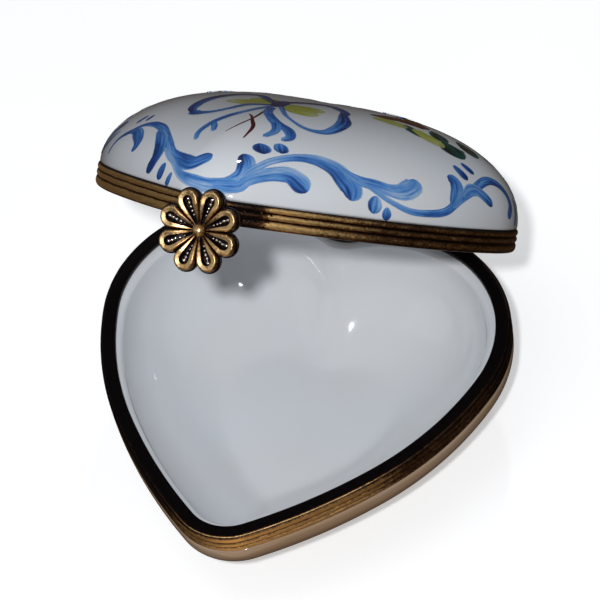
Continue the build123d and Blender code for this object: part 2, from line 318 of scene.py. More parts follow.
class Nodes:
    """A material's nodes round one Principled shader."""

    def __init__(self, name):
        self.material = bpy.data.materials.new(name)
        self.material.use_nodes = True
        self.tree = self.material.node_tree
        self.tree.nodes.clear()
        self.output = self.add("ShaderNodeOutputMaterial")
        self.shader = self.add("ShaderNodeBsdfPrincipled")
        self.link(self.shader.outputs[0], self.output.inputs[0])

    def add(self, kind, **settings):
        node = self.tree.nodes.new(kind)
        for key, value in settings.items():
            setattr(node, key, value)
        return node

    def link(self, a, b):
        self.tree.links.new(a, b)

    def put(self, socket, value):
        if isinstance(value, bpy.types.NodeSocket):
            self.link(value, socket)
        else:
            socket.default_value = value

    def attribute(self, name):
        return self.add("ShaderNodeAttribute", attribute_name=name).outputs["Fac"]

    def place(self):
        return self.add("ShaderNodeTexCoord").outputs["Object"]

    def noise(self, scale, detail, rough=0.5, vector=None):
        node = self.add("ShaderNodeTexNoise")
        node.inputs["Scale"].default_value = scale
        node.inputs["Detail"].default_value = detail
        node.inputs["Roughness"].default_value = rough
        self.link(vector if vector is not None else self.place(), node.inputs["Vector"])
        return node.outputs["Fac"]

    def math(self, kind, a, b=0.0):
        node = self.add("ShaderNodeMath", operation=kind)
        self.put(node.inputs[0], a)
        self.put(node.inputs[1], b)
        return node.outputs[0]

    def spread(self, value, low, high, to_low=0.0, to_high=1.0):
        node = self.add("ShaderNodeMapRange", interpolation_type="SMOOTHSTEP")
        self.put(node.inputs["Value"], value)
        self.put(node.inputs["From Min"], low)
        self.put(node.inputs["From Max"], high)
        self.put(node.inputs["To Min"], to_low)
        self.put(node.inputs["To Max"], to_high)
        return node.outputs[0]

    def vary(self, value, source, share):
        """The value plus or minus half the share, as the source goes from 0 to 1."""
        change = self.math("MULTIPLY", self.math("SUBTRACT", source, 0.5), share)
        return self.math("ADD", value, change)

    def stretched(self, run, run_scale, level, level_scale, detail, rough):
        """Noise over two attributes, each with a scale of its own."""
        lane = self.add("ShaderNodeCombineXYZ")
        self.put(lane.inputs[0], self.math("MULTIPLY", run, run_scale))
        self.put(lane.inputs[1], self.math("MULTIPLY", level, level_scale))
        return self.noise(1.0, detail, rough, lane.outputs[0])

    def mix(self, factor, a, b):
        node = self.add("ShaderNodeMix", data_type="RGBA")
        self.put(node.inputs[0], factor)
        self.put(node.inputs[6], a)
        self.put(node.inputs[7], b)
        return node.outputs[2]

    def ramp(self, factor, stops):
        node = self.add("ShaderNodeValToRGB")
        fill_ramp(node.color_ramp, stops)
        self.put(node.inputs[0], factor)
        return node.outputs[0]

    def bump(self, height, distance, strength=1.0, under=None):
        node = self.add("ShaderNodeBump")
        node.inputs["Strength"].default_value = strength
        node.inputs["Distance"].default_value = distance
        self.put(node.inputs["Height"], height)
        if under is not None:
            self.link(under, node.inputs["Normal"])
        return node.outputs[0]

    def set(self, name, value):
        self.put(self.shader.inputs[name], value)


# ---------------- porcelain and brass
PORCELAIN = (0.765, 0.797, 0.835, 1)
PORCELAIN_WARM = (0.77, 0.785, 0.805, 1)
PORCELAIN_SPECK = (0.08, 0.07, 0.06, 1)
# Painted warm reflection: a tan that stands for light bounced from a brown table onto the base's
# outside.
PAINTED_TABLE_REFLECTION = (0.46, 0.305, 0.185, 1)


def porcelain_colour(n):
    """White porcelain, slightly cloudy, with a rare dark speck."""
    cloud = n.noise(55.0, 3.0)
    body = n.mix(n.spread(cloud, 0.35, 0.65), PORCELAIN, PORCELAIN_WARM)
    speck = n.add("ShaderNodeTexVoronoi", feature="F1")
    speck.inputs["Scale"].default_value = 150.0
    n.link(n.place(), speck.inputs["Vector"])
    rare = n.spread(n.noise(420.0, 1.0), 0.70, 0.74)
    dot = n.math("MULTIPLY", n.spread(speck.outputs["Distance"], 0.035, 0.02), rare)
    return n.mix(dot, body, PORCELAIN_SPECK)


def glaze(n):
    """Clear glaze: smooth, with the faint waviness of a dipped and fired surface."""
    wave = n.noise(230.0, 2.0, 0.45)
    n.set("Normal", n.bump(wave, 0.00002, 0.6))
    n.set("Roughness", 0.07)
    n.set("IOR", 1.5)
    n.set("Coat Weight", 0.3)
    n.set("Coat Roughness", 0.03)


def porcelain_material():
    n = Nodes("glazed_porcelain")
    # The tan mixed in below is painted warm reflection and shade on the base's outside, standing for
    # light bounced from a brown table.
    cloud = n.spread(n.noise(60.0, 3.0), 0.2, 0.8, 0.85, 1.0)
    glow_amount = n.math("MULTIPLY", n.attribute("painted_glow"), cloud)
    n.set("Base Color", n.mix(glow_amount, porcelain_colour(n), PAINTED_TABLE_REFLECTION))
    glaze(n)
    return n.material


def brass_material(name, stops, shift=0.0, rough=0.3, grain=0.5):
    """Antiqued brass: black patina in the hollows, rubbed bright on the crests.

    shift rubs all of it brighter; rough is the least roughness and grain the pits' strength."""
    n = Nodes(name)
    crest, wear_and_shade = n.attribute("crest"), n.attribute("wear_and_shade")
    run, level = n.attribute("run"), n.attribute("level")
    drawn = n.stretched(run, 0.45, level, 9.0, 5.0, 0.7)
    scratch = n.stretched(run, 6.5, level, 1.1, 4.0, 0.7)
    patch = n.noise(170.0, 5.0, 0.62)
    fine = n.noise(3200.0, 3.0, 0.7)
    # Crest brightness scales with the rim attribute read above, which on the collars is real wear mixed
    # with painted shade and painted highlight round the rim.
    wear_and_shade_level = n.math("MULTIPLY", crest, n.math("ADD", n.math("MULTIPLY", wear_and_shade, 0.8), 0.25))
    for source, share in ((patch, 0.40), (fine, 0.70), (drawn, 0.45), (scratch, 0.35)):
        wear_and_shade_level = n.vary(wear_and_shade_level, source, share)
    wear_and_shade_level = n.math("ADD", wear_and_shade_level, shift)
    n.set("Base Color", n.ramp(wear_and_shade_level, stops))
    n.set("Metallic", 1.0)
    n.set("Roughness", n.spread(fine, 0.3, 0.7, rough, rough + 0.25))
    rough_face = n.bump(fine, 0.00006, grain)
    lines = n.bump(drawn, 0.00005, 0.5, rough_face)
    n.set("Normal", n.bump(scratch, 0.00004, 0.5, lines))
    return n.material


PATINA = (0.014, 0.010, 0.011)
DARK_BRONZE = (0.078, 0.036, 0.017)
BRONZE = (0.265, 0.133, 0.056)
GOLD = (0.98, 0.63, 0.26)
COLLAR_STOPS = [(0.16, PATINA), (0.42, DARK_BRONZE), (0.66, BRONZE), (0.93, GOLD)]
FLOWER_STOPS = [
    (0.08, PATINA),
    (0.31, (0.13, 0.066, 0.034)),
    (0.53, (0.45, 0.26, 0.105)),
    (0.86, (1.0, 0.67, 0.32)),
]
BEAD_STOPS = [
    (0.05, (0.10, 0.06, 0.04)),
    (0.3, (0.45, 0.32, 0.22)),
    (0.55, (0.95, 0.80, 0.66)),
    (0.9, (1.0, 0.92, 0.84)),
]

mat_porcelain = porcelain_material()
mat_collar = brass_material("antique_brass_collar", COLLAR_STOPS)
mat_fittings = brass_material("antique_brass_fittings", COLLAR_STOPS, 0.171)
mat_flower = brass_material("antique_brass_flower", FLOWER_STOPS, 0.0, 0.24, 0.3)
mat_bead = brass_material("bright_brass_beads", BEAD_STOPS, 0.1, 0.12, 0.1)
mat_solder = brass_material("dark_solder", COLLAR_STOPS, 0.0, 0.14, 0.8)


def dress(obj, material, body, slot, *nodes):
    """Gives a piece its material and body, and hides the CAD nodes it stands for; slot is not used."""
    obj.data.materials.clear()
    obj.data.materials.append(material)
    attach(obj, body)
    if nodes:
        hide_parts(*nodes)
    return obj


# ---------------- porcelain bodies
def base_z(depth):
    return MATING_Z - MATING_GAP / 2 - depth


def lid_z(depth):
    return MATING_Z + MATING_GAP / 2 + depth


RIM_DROP = 0.70
NECK = BAND_INNER + 0.15
SHOULDER = COLLAR_HEIGHT + 0.1


def lip_and_neck():
    """From the inner wall over the lip, and from under the flange down the neck to the shoulder."""
    lip = [
        (WALL, LIP_DEPTH),
        (WALL - 0.05, 1.15),
        (2.75, 0.82),
        (2.25, RIM_DROP),
        (NECK + 0.1, RIM_DROP),
    ]
    neck = [(NECK, RIM_DROP + 0.1), (NECK, SHOULDER - 0.05), (NECK, SHOULDER)]
    return soften(lip, 0.1, 0.12), neck


def base_profile():
    floor = MATING_Z - BASE_FLOOR
    wall = curve((LIP_DEPTH, WALL), (floor, BASE_FLOOR_INSET), HALF_WIDTH, 2.0, 0.55)
    inner = [(HALF_WIDTH, floor + 0.1)] + wall[::-1].tolist()
    inner = soften(inner, 0.25, 0.9)
    lip, neck = lip_and_neck()
    bottom = MATING_Z - MATING_GAP / 2
    shoulder = [(NECK, SHOULDER), (0.3, SHOULDER), (BASE_WALL_INSET, SHOULDER + 0.25)]
    top, low = (BASE_WALL_DEPTH, BASE_WALL_INSET), (bottom - FOOT_STEP, FOOT_INSET)
    outside = curve(top, low, FOOT_INSET, 1.6, 1.0)
    outer = soften(shoulder + outside.tolist(), 0.2, 0.3)
    foot = [
        (FOOT_INSET, bottom - FOOT_STEP + 0.15),
        (FOOT_INSET, bottom - 0.2),
        (FOOT_INSET + 0.06, bottom - 0.06),
        (FOOT_INSET + 0.2, bottom),
        (20.0, bottom),
        (HALF_WIDTH, bottom),
    ]
    return [*inner.tolist(), *lip.tolist()[1:], *neck, *outer.tolist(), *foot]


def dome_inset(start, t):
    """Inset of the dome from a starting inset (t = 0) to the crown (t = 1)."""
    return start + (HALF_WIDTH - start) * (1 - (1 - t**2) ** DOME_ROOT)


def lid_outside(count=120):
    """Profile of the dome's outside, from its shoulder to its crown."""
    top = LID_HEIGHT - MATING_GAP / 2
    t = np.sin(np.linspace(0, math.pi / 2, count))
    return np.stack([dome_inset(LID_WALL_INSET, t), SHOULDER + (top - SHOULDER) * t], 1)


def lid_profile():
    crown = LID_HEIGHT - CROWN_WALL
    t = np.sin(np.linspace(math.pi / 2, 0, 90))
    inner = np.stack([dome_inset(WALL, t), LIP_DEPTH + (crown - LIP_DEPTH) * t], 1)
    lip, neck = lip_and_neck()
    shoulder = [(0.35, SHOULDER), (0.22, SHOULDER + 0.06)]
    return [*inner.tolist(), *lip.tolist()[1:], *neck, *shoulder, *lid_outside()[2:].tolist()]


def base_painted_glow(outline):
    """How strongly the painted warm reflection tints the glaze: only on the outside, and less towards
    the foot.
    """
    glow_share = []
    for number, (_, depth) in enumerate(outline):
        outside = number > len(outline) // 2 and depth > SHOULDER - 0.3
        glow_share.append(outside * (1.0 - 0.85 * smoothstep(5.2, 8.0, depth)))
    return glow_share


base_outline = base_profile()
# The base's outside gets the painted warm reflection, a tan tint standing for light from a brown table.
base_shell = shell_object("base_bowl", base_outline, False, base_painted_glow(base_outline))
dress(base_shell, mat_porcelain, "base", "porcelain", "base_porcelain")
lid_outline = lid_profile()
lid_shell = shell_object("lid_dome", lid_outline, True, [0.0] * len(lid_outline))
dress(lid_shell, mat_porcelain, "lid", "painted_porcelain", "lid_porcelain")


# ---------------- painting on the lid
# Strokes lie on the closed lid. Those on its wall are given as (along, up): millimetres along the
# rim from the point, to the right positive, and millimetres up the wall from the collar. Those on
# its top are given as (x, y) of the plan.
PAINT_LIFT = 0.02
BRUSH = 1.32
PAINT_STEP = 0.28
PAINT_COLUMNS = 9
PAINT_SINK = 0.03
LAYER_RISE = 0.0012
STROKE_EDGE_ANGLE = math.radians(40)
OUTSIDE = lid_outside(160)
UP_WALL = np.concatenate([[0.0], np.cumsum(np.hypot(*np.diff(OUTSIDE, axis=0).T))])


def dome_tree():
    rings = [body_ring(TABLE, inset, depth, True) for inset, depth in OUTSIDE[:-1]]
    points = np.concatenate(rings)
    faces = grid_faces(len(rings), AROUND)
    return BVHTree.FromPolygons([Vector(p) for p in points], faces)


DOME = dome_tree()


def on_wall(*pairs):
    out = []
    for along, up in pairs:
        inset = float(np.interp(up, UP_WALL, OUTSIDE[:, 0]))
        depth = float(np.interp(up, UP_WALL, OUTSIDE[:, 1]))
        out.append(body_ring(heart_normals(along), inset, depth, True)[0])
    return np.array(out)


def on_top(*pairs):
    down = Vector((0, 0, -1))
    return np.array([tuple(DOME.ray_cast(Vector((x, y, 100.0)), down)[0]) for x, y in pairs])


def smooth_line(points, step):
    """Catmull-Rom curve through the points, sampled evenly."""
    p = np.concatenate([[2 * points[0] - points[1]], points, [2 * points[-1] - points[-2]]])
    dense = []
    for i in range(1, len(p) - 2):
        t = np.linspace(0, 1, 24, endpoint=False)[:, None]
        dense.append(0.5 * (
            2 * p[i] + (p[i + 1] - p[i - 1]) * t
            + (2 * p[i - 1] - 5 * p[i] + 4 * p[i + 1] - p[i + 2]) * t**2
            + (3 * p[i] - p[i - 1] - 3 * p[i + 1] + p[i + 2]) * t**3
        ))
    dense = np.concatenate(dense + [p[-2:-1]])
    run = np.concatenate([[0.0], np.cumsum(np.linalg.norm(np.diff(dense, axis=0), axis=1))])
    count = max(10, int(round(run[-1] / step)))
    at = np.linspace(0, run[-1], count + 1)
    return np.stack([np.interp(at, run, dense[:, i]) for i in range(3)], 1), at


def spread_over(values, share):
    return np.interp(share, np.linspace(0, 1, len(values)), values)


class Painting:
    """Brush strokes in one colour: thin closed ribbons that follow the glaze."""

    def __init__(self, name, seed):
        self.name = name
        self.points, self.faces = [], []
        self.values = {key: [] for key in ("across", "along", "tone", "stroke")}
        self.chance = random.Random(seed)
        self.count = 0

    def stroke(self, points, widths, tones=(0.5, 0.5), lean=(0.0, 0.0), tip=1.0):
        """One stroke: widths and tones are spread evenly over its length. lean darkens one side."""
        line, run = smooth_line(points, PAINT_STEP)
        share = run / run[-1]
        half = spread_over(widths, share) * BRUSH / 2
        reach = np.minimum(run, run[-1] - run)
        cap = np.maximum(half * tip, 0.2)
        half = half * np.sqrt(np.clip(1 - (1 - np.clip(reach / cap, 0.02, 1)) ** 2, 0, 1))
        tone = spread_over(tones, share)
        tilt = spread_over(lean, share)
        heading = np.gradient(line, axis=0)
        lift = PAINT_LIFT + LAYER_RISE * self.count
        number = self.chance.random()
        self.count += 1
        first = len(self.points)
        spots = np.linspace(-1, 1, PAINT_COLUMNS)
        upper, lower = [], []
        for i, centre in enumerate(line):
            _, normal, _, _ = DOME.find_nearest(Vector(centre))
            side = normal.cross(Vector(heading[i])).normalized()
            for spot in spots:
                near, out, _, _ = DOME.find_nearest(Vector(centre) + side * (spot * half[i]))
                out = out if out.dot(normal) > 0 else -out
                upper.append(tuple(near + out * lift * outward(near, out)))
                lower.append(tuple(near - out * PAINT_SINK * outward(near, out)))
        rows = len(line)
        layer = rows * PAINT_COLUMNS
        self.points.extend(upper + lower)
        for _ in range(2):
            self.values["across"].extend(np.tile(spots, rows))
            self.values["along"].extend(np.repeat(run, PAINT_COLUMNS))
            shade = tone[:, None] + tilt[:, None] * spots[None, :] * 0.5
            self.values["tone"].extend(np.clip(shade, 0, 1).ravel())
            self.values["stroke"].extend(np.full(layer, number))
        for i in range(rows - 1):
            for j in range(PAINT_COLUMNS - 1):
                a = first + i * PAINT_COLUMNS + j
                quad = (a, a + 1, a + PAINT_COLUMNS + 1, a + PAINT_COLUMNS)
                self.faces.append(quad)
                self.faces.append(tuple(v + layer for v in reversed(quad)))
        ring = [i * PAINT_COLUMNS for i in range(rows)]
        ring += [(rows - 1) * PAINT_COLUMNS + j for j in range(1, PAINT_COLUMNS)]
        ring += [i * PAINT_COLUMNS + PAINT_COLUMNS - 1 for i in range(rows - 2, -1, -1)]
        ring += list(range(PAINT_COLUMNS - 2, 0, -1))
        for a, b in zip(ring, ring[1:] + ring[:1]):
            self.faces.append((first + a, first + b, first + b + layer, first + a + layer))

    def finish(self, material):
        obj = make_object(self.name, self.points, self.faces, True, self.values)
        obj.data.set_sharp_from_angle(angle=STROKE_EDGE_ANGLE)
        return dress(obj, material, "lid", "painted_porcelain")


def outward(place, normal):
    """1 where a surface normal points out of the dome, and -1 where it points in."""
    return 1.0 if normal.dot(place - Vector((0.0, CROWN_SETBACK, MATING_Z))) > 0 else -1.0


STREAK_RATE = 2.6
STROKE_SHIFT = 57.0


def paint_material(name, stops, thin=0.35):
    """Enamel under the glaze: brushed streaks along each stroke, thin at its edges."""
    n = Nodes(name)
    across, along = n.attribute("across"), n.attribute("along")
    tone, stroke = n.attribute("tone"), n.attribute("stroke")
    bristle = n.math("ADD", across, n.math("MULTIPLY", stroke, STROKE_SHIFT / STREAK_RATE))
    streak = n.stretched(bristle, STREAK_RATE, along, 0.16, 4.0, 0.65)
    wash = n.noise(420.0, 2.0)
    depth = n.vary(n.vary(tone, streak, 1.9), wash, 0.35)
    n.set("Base Color", n.ramp(depth, stops))
    edge = n.vary(n.math("ABSOLUTE", across), streak, 0.25)
    cover = n.spread(edge, 1.0, 0.78)
    body = n.spread(depth, 0.05, 0.45, 1.0 - thin, 1.0)
    n.set("Alpha", n.math("MULTIPLY", cover, body))
    glaze(n)
    return n.material


BLUES = [
    (0.0, (0.36, 0.56, 0.86)), (0.22, (0.16, 0.38, 0.76)), (0.48, (0.055, 0.20, 0.54)),
    (0.74, (0.018, 0.085, 0.32)), (1.0, (0.004, 0.018, 0.11)),
]


def paint_scroll(blue):
    """The scroll round the lid's front, from left to right."""
    s, w = blue.stroke, on_wall
    s(
        w((-29, 1.5), (-28.5, 3.5), (-27, 5), (-25, 6), (-22.5, 5.5), (-20.5, 4.5), (-20, 3)),
        (0.4, 0.8, 1.5, 1.0), (0.5, 0.65, 0.5, 0.6),
    )
    s(
        w(
            (-26.5, 5.5), (-25, 7), (-22.5, 8), (-19, 8), (-15.5, 7), (-13, 6), (-10, 4.5),
            (-7, 4), (-4.5, 4), (-3, 5), (-2, 6),
        ),
        (0.4, 1.0, 1.1, 1.1, 1.3, 1.9, 1.5), (0.6, 0.6, 0.55, 0.4, 0.55, 0.6), (0.2, 0.5),
    )
    s(
        w((-18.5, 7.5), (-15, 6), (-13, 4), (-13, 2), (-13.5, 1)),
        (0.8, 1.6, 1.7, 1.4), (0.5, 0.6, 0.75, 0.95), (0.0, -0.7, -0.7),
    )
    s(w((-10, 3), (-10, 0.5)), (0.8, 1.2, 1.1), (0.55, 0.85))
    s(w((-7.5, 2), (-8, 0)), (0.5, 0.8, 0.7), (0.45, 0.75))
    s(w((-28.5, 9), (-28, 7)), (0.5, 0.8, 0.6), (0.5, 0.85))
    s(w((-27, 9.5), (-26, 8)), (0.4, 0.7, 0.5), (0.5, 0.85))
    s(
        w(
            (-12.5, 5), (-8.5, 3.5), (-5.5, 2), (-2, 1.5), (0, 1.5), (2, 2), (3.5, 3.5),
            (3.5, 5.5), (2.5, 7),
        ),
        (0.3, 0.45, 0.7, 1.0, 1.4, 1.6, 1.8, 2.0, 1.7),
        (0.0, 0.0, 0.25, 0.3, 0.25, 0.2, 0.25, 0.9), (0.0, 0.2, 0.4, 0.6, 1.1),
    )
    s(
        w((0, 1.5), (3, 2), (4, 3), (6, 4), (8, 4.5), (9.5, 4.5), (11, 3.5), (12, 2.5)),
        (1.0, 1.4, 1.4, 1.6, 2.1, 2.6), (0.3, 0.25, 0.25, 0.35, 0.55), (0.0, -0.2, -0.5, -1.1),
    )
    s(
        w((3.5, 3.5), (5, 5), (7, 6.5), (10, 7.5), (13, 7.5), (15.5, 6.5), (17, 5), (18, 3.5), (18, 2)),
        (0.6, 0.8, 0.9, 1.2, 2.0, 2.6, 2.5),
        (0.15, 0.2, 0.35, 0.45, 0.5, 0.6), (0.0, 0.0, -0.3, -0.8, -1.2),
    )
    s(
        w((16.5, 6.5), (19, 5), (21.5, 4.5), (23.5, 4), (25.5, 4), (27.5, 5), (28, 6)),
        (0.5, 1.2, 1.4, 1.5, 2.2, 2.1), (0.35, 0.35, 0.3, 0.3, 0.3), (0.2, 0.3, 0.4),
    )
    s(
        w(
            (19, 5), (21.5, 3.5), (23.5, 2.5), (26.5, 1.5), (30, 1.5), (32.5, 2), (35, 3.5),
            (38.5, 5), (43, 6.5), (46, 6), (47.5, 4.5), (47.5, 3), (46, 1.5),
        ),
        (0.4, 0.6, 0.7, 0.9, 1.0, 1.1, 1.1, 1.0),
        (0.2, 0.3, 0.6, 0.45, 0.5, 0.6, 0.7), (-0.2, -0.4, 0.0),
    )
    s(
        w((33.5, 2.5), (35, 4.5), (35.5, 6), (34.5, 7)),
        (1.1, 1.7, 1.9, 1.6), (0.45, 0.4, 0.65), (0.4, 0.5),
    )
    s(
        w((36, 4), (38, 5), (39.5, 5), (41, 4), (42, 3)),
        (0.8, 1.5, 1.4, 1.1), (0.3, 0.35, 0.75), (-0.4, -0.4),
    )
    s(w((50, 4), (49.5, 2), (48.5, 0.5)), (0.5, 0.8, 0.6), (0.4, 0.5))
    s(w((4.5, 9.5), (5.5, 7.5)), (1.8, 2.1), (0.6, 1.0), (-0.5, -0.6), 0.8)
    s(w((7.5, 10), (8, 8)), (1.4, 1.7), (0.35, 0.95), (0.0, 0.0), 0.8)
    s(w((21.5, 3), (21, 0.7)), (1.2, 1.7, 1.6), (0.25, 0.7), (-0.7, -0.9))
    s(w((23, 1.7), (23, 0)), (0.6, 1.1, 1.1), (0.3, 0.85))
    s(w((37.5, 9), (38.5, 6.5)), (0.8, 1.2, 1.2), (0.55, 0.9))
    s(w((40, 9.5), (41, 7.5)), (0.7, 1.0, 0.9), (0.65, 0.85))


def paint_repeat(blue, start, turn):
    """The scroll's repeat for the sides and back; turn is 1 to the right and -1 to the left."""

    def place(*pairs):
        return on_wall(*[(start + turn * a, up) for a, up in pairs])

    s = blue.stroke
    s(
        place((0, 5), (2, 3), (5, 1.5), (8, 2), (11, 4), (14, 6.5), (17, 7), (19, 5.5), (20, 3)),
        (0.5, 0.9, 1.1, 1.2, 1.1, 1.6, 2.2), (0.3, 0.4, 0.5, 0.35, 0.5, 0.6), (-0.4 * turn, -0.4 * turn),
    )
    s(place((7, 2), (8.5, 4), (8.5, 6), (7, 7)), (0.9, 1.7, 2.0, 1.5), (0.4, 0.4, 0.7), (0.3, 0.3))
    s(place((3, 3), (3, 5), (2, 6.5)), (0.7, 1.2, 1.2), (0.4, 0.7))
    s(place((15, 5), (14.5, 3), (13, 1.5)), (0.8, 1.7, 1.5), (0.4, 0.8), (0.3, 0.6))
    s(place((10.5, 8.5), (11, 6.7)), (0.8, 1.1, 1.0), (0.5, 0.9))
    s(place((12.8, 9.5), (13, 8)), (0.6, 0.9, 0.8), (0.5, 0.9))
    s(place((10, 2), (10.3, 0.4)), (0.8, 1.3, 1.2), (0.4, 0.8))


def paint_butterfly(blue):
    """Ribbon outline of a butterfly on the front of the dome."""
    s, t = blue.stroke, on_top
    s(
        t((-1.5, -5), (-4.5, -6), (-6, -9), (-7.5, -10.5), (-9.5, -10.5), (-10.5, -9.5)),
        (0.7, 0.9, 0.7, 0.9, 1.6), (0.7, 0.6, 0.5, 0.55, 0.8),
    )
    s(
        t(
            (-9.5, -10.5), (-11, -8.5), (-11.5, -5), (-11, -1), (-9, 2.5), (-6.5, 3), (-4, -0.5),
            (-1.5, -4),
        ),
        (0.6, 1.2, 1.3, 1.2, 1.0, 0.9, 0.8), (0.7, 0.75, 0.85, 0.8, 0.7, 0.8), (0.3, 0.3),
    )
    s(
        t((-1.5, -6), (-3, -10), (-4.5, -13), (-5.5, -15.5), (-6, -18), (-5.5, -20)),
        (0.7, 0.7, 0.9, 0.8, 0.5), (0.55, 0.5, 0.55, 0.4),
    )
    s(t((-5.3, -15.3), (-4.5, -17), (-4, -18.5)), (0.6, 0.7, 0.5), (0.6, 0.35))
    s(
        t((-1, -7), (-0.5, -10), (1, -12.5), (2.5, -14), (4, -14.5), (5, -16), (4.5, -17.5)),
        (0.8, 1.0, 1.1, 1.5, 1.3, 0.6), (0.7, 0.5, 0.55, 0.7, 0.4), (0.2, 0.6),
    )
    s(t((2, -13.5), (3, -16), (2.5, -18.5)), (1.2, 0.9, 0.5), (0.55, 0.35))
    s(
        t((-1, -4.5), (1, -8.5), (2.5, -10.5), (5, -12), (7, -11.5), (8, -9.5), (8, -5.5), (6.5, -1.5)),
        (0.6, 0.6, 0.5, 0.8, 1.3, 1.6, 1.0), (0.6, 0.45, 0.35, 0.5, 0.75, 0.85), (0.0, -0.4),
    )
    s(
        t((6.5, -2), (6, 0.5), (3.5, 3), (1.5, 3), (-0.5, 0.5), (-1.5, -2.5)),
        (0.9, 1.1, 1.1, 1.0, 0.9), (0.9, 0.85, 0.8, 0.9),
    )
    s(t((-1.7, 0), (-1.5, -3), (-1, -6)), (1.2, 1.8, 1.4), (0.9, 1.0))


def paint_bouquet(blue):
    """Small blue flowers beside the butterfly, over the lobes of the heart."""
    for x, y, size in ((9.0, 13.0, 2.2), (-10.0, 14.0, 2.0), (-14.5, 9.0, 1.6)):
        for k in range(5):
            a = 2 * math.pi * k / 5 + x
            tip = (x + size * math.cos(a), y + size * math.sin(a))
            middle = ((x + tip[0]) / 2, (y + tip[1]) / 2)
            blue.stroke(on_top((x, y), middle, tip), (0.5, 1.7, 1.6), (0.7, 0.35, 0.5))


blue = Painting("lid_painting_blue", 11)
paint_scroll(blue)
for start, turn in ((52.0, 1), (70.0, 1), (-31.0, -1), (-50.0, -1), (-69.0, -1)):
    paint_repeat(blue, start, turn)
paint_butterfly(blue)
paint_bouquet(blue)
blue.finish(paint_material("blue_enamel", BLUES))

YELLOWS = [
    (0.0, (0.66, 0.68, 0.34)), (0.4, (0.50, 0.52, 0.10)), (0.75, (0.34, 0.37, 0.04)),
    (1.0, (0.16, 0.19, 0.02)),
]
GREENS = [
    (0.0, (0.10, 0.30, 0.25)), (0.4, (0.018, 0.12, 0.095)), (0.75, (0.008, 0.045, 0.04)),
    (1.0, (0.003, 0.015, 0.015)),
]
REDS = [
    (0.0, (0.42, 0.16, 0.10)), (0.4, (0.20, 0.045, 0.03)), (0.75, (0.075, 0.012, 0.012)),
    (1.0, (0.03, 0.006, 0.008)),
]

yellow = Painting("lid_painting_yellow", 12)
for line, width, tone in (
    (((-2, -4.5), (-4.5, -4), (-8.5, -3)), 3.6, 0.4),
    (((-2.5, -3), (-4, -1), (-6.5, 0)), 3.0, 0.5),
    (((-0.5, -4.5), (2, -5.5), (4.6, -6)), 3.6, 0.4),
    (((-0.5, -3), (2, -3), (4.5, -3)), 3.2, 0.5),
    (((9, 2.5), (11, 3.5), (13.5, 3.5)), 2.4, 0.45),
    (((14, 4.5), (16.5, 3.5), (18.8, 3.3)), 2.4, 0.5),
    (((-9, 10), (-12, 12), (-14, 14)), 2.2, 0.5),
    (((4, 12), (6, 15), (7, 18)), 2.4, 0.5),
):
    yellow.stroke(on_top(*line), (0.5 * width, width, 0.8 * width), (tone, tone, 0.2))
yellow.finish(paint_material("yellow_green_enamel", YELLOWS, 0.6))

green = Painting("lid_painting_green", 13)
for line, width in (
    (((12.5, 5), (14, 3.8), (16.5, 2.8)), 2.2),
    (((18, 5.5), (19.5, 4.5), (21.3, 4)), 3.8),
    (((18.5, 9.5), (20, 8.8), (21.9, 8)), 2.6),
    (((15.5, 8), (16.8, 6.5), (18, 5)), 2.2),
    (((10, 9), (11, 12), (11, 15)), 2.0),
    (((3, 9), (2, 12), (3, 16)), 2.0),
    (((-6, 9), (-8, 12), (-7, 16)), 2.2),
    (((-12, 8), (-15, 11), (-16, 14)), 2.0),
):
    green.stroke(on_top(*line), (0.4 * width, width, 0.9 * width), (0.5, 0.75, 0.55), (0.4, -0.4))
green.finish(paint_material("green_enamel", GREENS, 0.25))

red = Painting("lid_painting_red", 14)
for line, widths in (
    (
        ((-1.6, -6.5), (-1, -10.5), (-0.9, -13.5), (-1.4, -16), (-2.3, -19)),
        (0.35, 0.3, 0.3, 0.25, 0.12),
    ),
    (
        ((-2.2, -11.8), (-1.4, -13), (-0.7, -14.5), (0.4, -17), (0.6, -20.2)),
        (0.2, 0.35, 0.45, 0.35, 0.15),
    ),
    (((10.5, 6), (12.5, 7.5), (15, 8.5)), (1.4, 2.6, 1.8)),
    (((14.5, 6.5), (12.5, 9), (12, 11)), (1.0, 2.4, 1.6)),
    (((8, 4.5), (10, 6), (11.5, 8.5)), (0.9, 2.2, 1.4)),
    (((-3, 11), (-1, 14), (-2, 17)), (1.2, 2.6, 1.8)),
    (((0, 11), (-1.5, 13.5), (-4, 15)), (1.0, 2.4, 1.6)),
    (((22, 11), (22.6, 12.4), (22.8, 13.6)), (0.4, 0.7, 0.3)),
):
    red.stroke(on_top(*line), widths, (0.6, 0.8, 0.6))
red.finish(paint_material("red_brown_enamel", REDS, 0.2))


